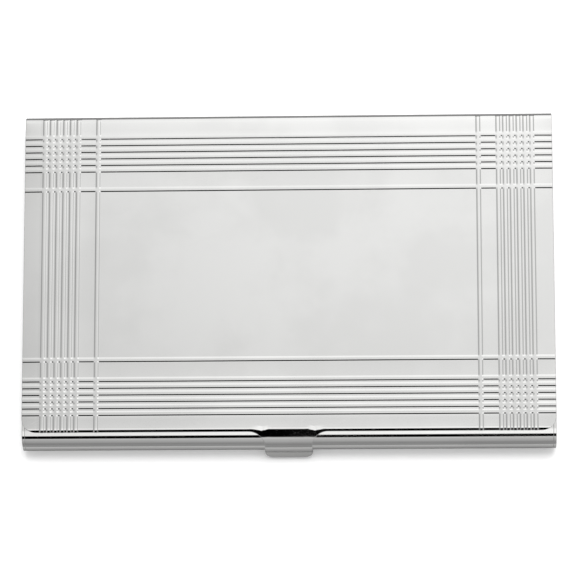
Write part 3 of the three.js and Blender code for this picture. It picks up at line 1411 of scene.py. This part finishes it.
    def flat_sheet(self) -> Blank:
        """Lays out the lid's flat top, with its lines where the stamping needs them.

        Returns:
            The sheet, as an open surface at the lid's top.
        """
        columns, rows = self.columns(), self.rows()
        blank = Blank()
        across, along = len(columns) - 1, len(rows) - 1
        made = bmesh.ops.create_grid(blank.mesh, x_segments=across, y_segments=along, size=1)
        for point in made["verts"]:
            column = round((point.co.x + 1) / 2 * across)
            row = round((point.co.y + 1) / 2 * along)
            point.co = (columns[column], rows[row], self.layout.height)
        return blank

    def round_front_corners(self, blank: Blank) -> None:
        """Cuts the two front corners round.

        Args:
            blank: The flat sheet.
        """
        at = self.layout
        for sign in (-1, 1):
            centre = Vector((sign * (at.half_width - self.corner), at.lid_front + self.corner, at.height))
            self.round_corner(blank, centre, self.corner, sign, 14)

    def round_corner(self, blank: Blank, centre: Vector, radius: float, sign: int, steps: int) -> None:
        """Cuts one forward corner of a flat sheet round, a chord at a time.

        Args:
            blank: The flat sheet.
            centre: The arc's centre.
            radius: Its radius.
            sign: The sign of X on the corner's side.
            steps: Number of chords.
        """
        step = math.radians(90 / steps)
        for count in range(steps):
            angle = step * (count + 0.5)
            outwards = Vector((sign * math.cos(angle), -math.sin(angle), 0))
            near = [
                face
                for face in blank.mesh.faces
                if (face.calc_center_median().x - centre.x) * sign > -radius * 0.2
                and face.calc_center_median().y < centre.y + radius * 0.2
            ]
            parts = dict.fromkeys(part for face in near for part in (*face.verts, *face.edges, face))
            bmesh.ops.bisect_plane(
                blank.mesh,
                geom=list(parts),
                dist=0.0005 * MM,
                plane_co=centre + outwards * radius * math.cos(step / 2),
                plane_no=outwards,
                clear_outer=True,
            )

    def draw_tab(self, blank: Blank) -> None:
        """Draws the tab out flat from the lid's front edge, with its fillets and round corners.

        Args:
            blank: The flat sheet.
        """
        at, tab = self.layout, self.tab
        rows = [along - tab.crease for along in self.nose.rows() if along > tab.crease + 0.05 * MM]
        edge_row = [
            edge
            for edge in blank.mesh.edges
            if all(abs(p.co.y - at.lid_front) < 1e-8 and abs(p.co.x) < tab.half + 1e-8 for p in edge.verts)
        ]
        for before, after in zip([0.0, *rows], rows):
            made = bmesh.ops.extrude_edge_only(blank.mesh, edges=edge_row)["geom"]
            edge_row = [part for part in made if isinstance(part, BMEdge)]
            moved = [part for part in made if isinstance(part, BMVert)]
            bmesh.ops.translate(blank.mesh, verts=moved, vec=(0, before - after, 0))
        for sign in (-1, 1):
            centre = Vector((sign * (tab.half - tab.corner), at.lid_front - rows[-1] + tab.corner, at.height))
            self.round_corner(blank, centre, tab.corner, sign, 8)
        for point in blank.mesh.verts:
            point.co.xy += self.fillet_shift(point.co)

    def fillet_shift(self, place: Vector) -> Vector:
        """Moves a point of the flat blank so that the tab's root gets its fillets.

        Args:
            place: A point on the blank.

        Returns:
            Its shift in X and Y.
        """
        tab = self.tab
        beyond = abs(place.x) - tab.half
        forward = self.layout.lid_front - place.y
        if beyond > tab.fillet or beyond < -tab.inset or forward > tab.fillet or forward < -tab.blend:
            return Vector((0, 0))
        angle, start, share = math.radians(45), Vector((0, 0)), 1.0
        if forward > 0:
            angle *= 1 + forward / tab.fillet
            start.y = -forward
        else:
            share *= 1 + forward / tab.blend
        if beyond > 0:
            angle *= 1 - beyond / tab.fillet
            start.x = beyond
        else:
            share *= 1 + beyond / tab.inset
        arc = Vector((1 - math.sin(angle), math.cos(angle) - 1)) * tab.fillet
        shift = (arc - start) * share
        return Vector((shift.x * (1 if place.x > 0 else -1), shift.y))

    def crowned(self, inwards: float) -> float:
        """Gives the share of the crown's height near an edge.

        Args:
            inwards: Distance from the edge.

        Returns:
            The share, from 0 at the edge to 1 on the panel.
        """
        share = min(1.0, max(0.0, inwards / self.crown_width))
        return 1 - (1 - share) ** 2

    def stamp(self, blank: Blank) -> None:
        """Crowns the flat lid slightly and raises the plaid on its outer face.

        Args:
            blank: The thick flat sheet.
        """
        at, plaid, spine = self.layout, self.plaid, self.spine.start
        columns, rows = self.rib_columns, self.rib_rows
        for point in blank.mesh.verts:
            x, y, z = point.co
            share = min(1.0, (z - at.lid_under) / at.sheet)
            if share < 0.01 or not at.lid_front - 0.01 * MM < y < spine + plaid.run_out[1]:
                continue
            crown = self.crowned(at.half_width - abs(x)) * self.crowned(spine - y)
            crown *= self.crowned(y - at.lid_front)
            across = plaid.into_rib(x, columns)
            across -= plaid.width * smooth_step(*plaid.run_out, y - spine)
            point.co.z += share * (self.crown * crown + plaid.rise(across, plaid.into_rib(y, rows)))

    def press(self, blank: Blank) -> None:
        """Presses the spine and the thumb tab over their formers.

        Args:
            blank: The thick flat sheet, already stamped.
        """
        height, coined = self.layout.height, self.tab.coined
        for point in blank.mesh.verts:
            for former in (self.nose, self.spine):
                along = (point.co.y - former.start) * former.outwards
                if along <= 0:
                    continue
                depth = height - point.co.z
                if former.outwards < 0 and depth > 0:
                    depth *= 1 - coined * smooth_step(0, 1 * MM, along)
                out, up = former.press(along, depth)
                point.co.y = former.start + former.outwards * out
                point.co.z = height + up

    def build(self) -> None:
        """Makes the lid."""
        self.dress(self.mesh(), "lid", Body.LID, "lid_cover", "polished_nickel")


# ---- Studio ----


@dataclass(frozen=True)
class Studio:
    """The pale floor, the soft light and the camera.

    Attributes:
        lens: Focal length of the camera, in millimetres.
        aim: The point that the camera looks at.
        distance: Its distance from there.
        azimuth: Degrees round from the front, positive towards the right.
        elevation: Degrees above level.
        roll: Degrees that the camera is turned about its own line of sight.
        floor_half: Half the side of the floor.
        tent_power: What the light tent's brightness is multiplied by.
        glow: How much light the white paper gives off by itself.
        white: The paper's tone to the camera.
        painted_shadow_tones: Painted shadow in what the metal mirrors: the floor's tone at the two ends of
            the strip in front of the case, darkest at the end next to it.
        painted_far_shade: Painted shade in what the metal mirrors, further forward than that strip and behind
            the case.
        painted_shadow_strip: Where that strip lies along Y.
        painted_shade_rear_strip: Where the painted shade behind the case fades in, along Y.
        panel_place: Place of the overhead panel.
        panel_size: Its diameter.
        panel_energy: Its power, in watts.
    """

    lens: float = 187.5
    aim: Vector = Vector((-0.00027, -0.00053, 0.0))
    distance: float = 0.5376
    azimuth: float = 12.57
    elevation: float = 79.805
    roll: float = -12.81
    floor_half: float = 4.0
    tent_power: float = 1.23
    glow: float = 0.2
    white: float = 0.92
    # Painted shade that shows only where the metal mirrors the floor.
    painted_shadow_tones: tuple[float, float] = (0.5, 0.3)
    painted_far_shade: float = 0.25
    painted_shadow_strip: tuple[float, float] = (-42 * MM, -31 * MM)
    painted_shade_rear_strip: tuple[float, float] = (20 * MM, 30 * MM)
    panel_place: Vector = Vector((0.05, 0.28, 0.9))
    panel_size: float = 0.5
    panel_energy: float = 5.0

    def place_camera(self) -> None:
        """Sets up the camera."""
        data = bpy.data.cameras.new("camera")
        data.lens = self.lens
        data.clip_start = 0.01
        camera = bpy.data.objects.new("camera", data)
        round_z, up = math.radians(self.azimuth), math.radians(self.elevation)
        back = Vector((math.sin(round_z) * math.cos(up), -math.cos(round_z) * math.cos(up), math.sin(up)))
        level = Vector((0, 0, 1)).cross(back).normalized()
        turn = math.radians(self.roll)
        right = level * math.cos(turn) + back.cross(level) * math.sin(turn)
        axes = Matrix((right, back.cross(right), back)).transposed()
        camera.matrix_world = Matrix.Translation(self.aim + back * self.distance) @ axes.to_4x4()
        bpy.context.scene.collection.objects.link(camera)
        bpy.context.scene.camera = camera

    def lay_floor(self) -> None:
        """Lays the pale floor."""
        bench = bmesh.new()
        bmesh.ops.create_grid(bench, x_segments=2, y_segments=2, size=self.floor_half)
        data = bpy.data.meshes.new("floor")
        bench.to_mesh(data)
        bench.free()
        floor = bpy.data.objects.new("floor", data)
        bpy.context.scene.collection.objects.link(floor)
        data.materials.append(self.paper())

    def paper(self) -> bpy.types.Material:
        """Makes the floor's paper: white to the camera, with painted shade in what the metal mirrors: a
        painted shadow that is darkest next to the case's front, and a painted dark tone further forward and
        behind the case.

        Returns:
            The new material.
        """
        material = bpy.data.materials.new("paper with painted reflections")
        material.use_nodes = True
        graph = Graph(material.node_tree)
        place = graph.add("ShaderNodeTexCoord").outputs["Object"]
        y = graph.add("ShaderNodeSeparateXYZ", inputs={0: place}).outputs[1]
        # Painted shadow in what the metal mirrors: the tone falls from the strip's far end to the case's
        # front and stays low under the case.
        near = graph.spread(y, self.painted_shadow_strip, self.painted_shadow_tones)
        past_painted_shadow_strip = graph.math("LESS_THAN", y, self.painted_shadow_strip[0])
        # Painted shade in what the metal mirrors: the far dark tone past the strip and behind the case.
        behind = graph.spread(y, self.painted_shade_rear_strip, (0.0, 1.0))
        mirrored_tone_with_painted_shade = graph.mix(behind, graph.mix(past_painted_shadow_strip, near, self.painted_far_shade), self.painted_far_shade)
        # Only rays that the metal mirrors see the painted shade; to the camera the paper stays evenly white.
        seen = graph.add("ShaderNodeLightPath").outputs["Is Camera Ray"]
        shader = graph.add(
            "ShaderNodeBsdfPrincipled",
            inputs={
                "Base Color": graph.mix(seen, mirrored_tone_with_painted_shade, self.white),
                "Roughness": 0.9,
                "Specular IOR Level": 0.1,
                "Emission Color": (1, 1, 1, 1),
                "Emission Strength": graph.math("MULTIPLY", seen, self.glow),
            },
        )
        graph.add("ShaderNodeOutputMaterial", inputs={"Surface": shader.outputs[0]})
        return material

    def light(self) -> None:
        """Surrounds the case with a tent of soft light, with an overhead panel that only the floor sees."""
        world = bpy.data.worlds.new("light tent")
        bpy.context.scene.world = world
        world.use_nodes = True
        graph = Graph(world.node_tree)
        direction = graph.add("ShaderNodeTexCoord").outputs["Generated"]
        split = graph.add("ShaderNodeSeparateXYZ", inputs={0: direction})
        x, y, z = split.outputs
        forward = graph.math("MULTIPLY", y, -1.0)
        tilt = graph.math("ARCTAN2", forward, z)
        lean = graph.math("ARCSINE", x)
        to_front = self.ramp(graph, tilt, FRONT_TENT)
        to_side = self.ramp(graph, lean, SIDE_TENT)
        sideways = graph.spread(graph.math("ABSOLUTE", x), (0.5, 0.8), (0.0, 1.0))
        mixed = graph.mix(sideways, to_front, 1.0)
        shaded = graph.math("MULTIPLY", graph.math("MULTIPLY", mixed, to_side), self.tent_power)
        seen = graph.add("ShaderNodeLightPath").outputs["Is Camera Ray"]
        backdrop = graph.add("ShaderNodeBackground", inputs={"Strength": graph.mix(seen, shaded, 1.0)})
        graph.add("ShaderNodeOutputWorld", inputs={"Surface": backdrop.outputs[0]})
        self.hang_panel()
        bpy.context.scene.view_settings.view_transform = "Standard"

    @staticmethod
    def ramp(graph: Graph, angle: Any, stops: Sequence[tuple[float, float]]) -> bpy.types.NodeSocket:
        """Makes a brightness that depends on an angle from overhead.

        Args:
            graph: The world's graph.
            angle: The angle's socket, in radians.
            stops: Pairs of degrees and brightness, in order.

        Returns:
            The brightness.
        """
        low, high = stops[0][0], stops[-1][0]
        share = graph.add(
            "ShaderNodeMapRange",
            inputs={0: angle, 1: math.radians(low), 2: math.radians(high), 3: 0.0, 4: 1.0},
        )
        node = graph.add("ShaderNodeValToRGB", inputs={0: share.outputs[0]})
        brightest = max(level for _, level in stops)
        marks = node.color_ramp.elements
        while len(marks) < len(stops):
            marks.new(1.0)
        for mark, (degrees, level) in zip(marks, stops):
            mark.position = (degrees - low) / (high - low)
            mark.color = (*[level / brightest] * 3, 1)
        return graph.math("MULTIPLY", node.outputs[0], brightest)

    def hang_panel(self) -> None:
        """Hangs the panel that whitens the floor and gives the case its soft shadow."""
        data = bpy.data.lights.new("overhead panel", "AREA")
        data.shape = "DISK"
        data.size = self.panel_size
        data.energy = self.panel_energy
        panel = bpy.data.objects.new("overhead panel", data)
        panel.location = self.panel_place
        panel.rotation_euler = panel.location.to_track_quat("Z", "Y").to_euler()
        panel.visible_glossy = False
        panel.visible_camera = False
        bpy.context.scene.collection.objects.link(panel)


# Brightness of the light tent by angle from overhead: through the front (positive) and the rear (negative).
FRONT_TENT = (
    (-180.0, 0.2),
    (-95.0, 0.1),
    (-82.0, 0.15),
    (-77.0, 1.1),
    (-20.0, 1.15),
    (-14.0, 1.0),
    (-10.4, 0.94),
    (-6.5, 0.76),
    (-1.0, 0.95),
    (4.0, 1.08),
    (30.0, 1.1),
    (31.8, 0.0),
    (48.5, 0.0),
    (50.0, 0.7),
    (58.0, 0.53),
    (65.0, 0.476),
    (72.0, 0.44),
    (80.0, 0.34),
    (90.0, 0.27),
    (180.0, 0.2),
)
# What that is multiplied by, by angle from upright towards the right (positive) and the left (negative).
SIDE_TENT = (
    (-90.0, 0.35),
    (-65.0, 0.38),
    (-50.0, 0.43),
    (-35.0, 0.65),
    (-10.0, 0.78),
    (-3.0, 1.0),
    (2.0, 1.06),
    (30.0, 1.05),
    (42.0, 0.6),
    (62.0, 0.52),
    (90.0, 0.45),
)


def main() -> None:
    """Builds the case, dresses it and sets up the studio."""
    logging.basicConfig(level=logging.INFO, format="%(message)s")
    layout = Layout.from_frame()
    nickel = PolishedNickel().build()
    satin = SATIN_STEEL.build()
    spring = SPRING_STEEL.build()
    BaseTray(layout, nickel).build()
    LidCover(layout, nickel).build()
    LeafSpring(layout, spring).build()
    for side in Side:
        EndPlate(layout, nickel, side).build()
        HingeLug(layout, satin, side).build()
        HingePin(layout, satin, side).build()
        SpringRivet(layout, satin, side).build()
    studio = Studio()
    studio.place_camera()
    studio.lay_floor()
    studio.light()


if __name__ == "__main__":
    main()
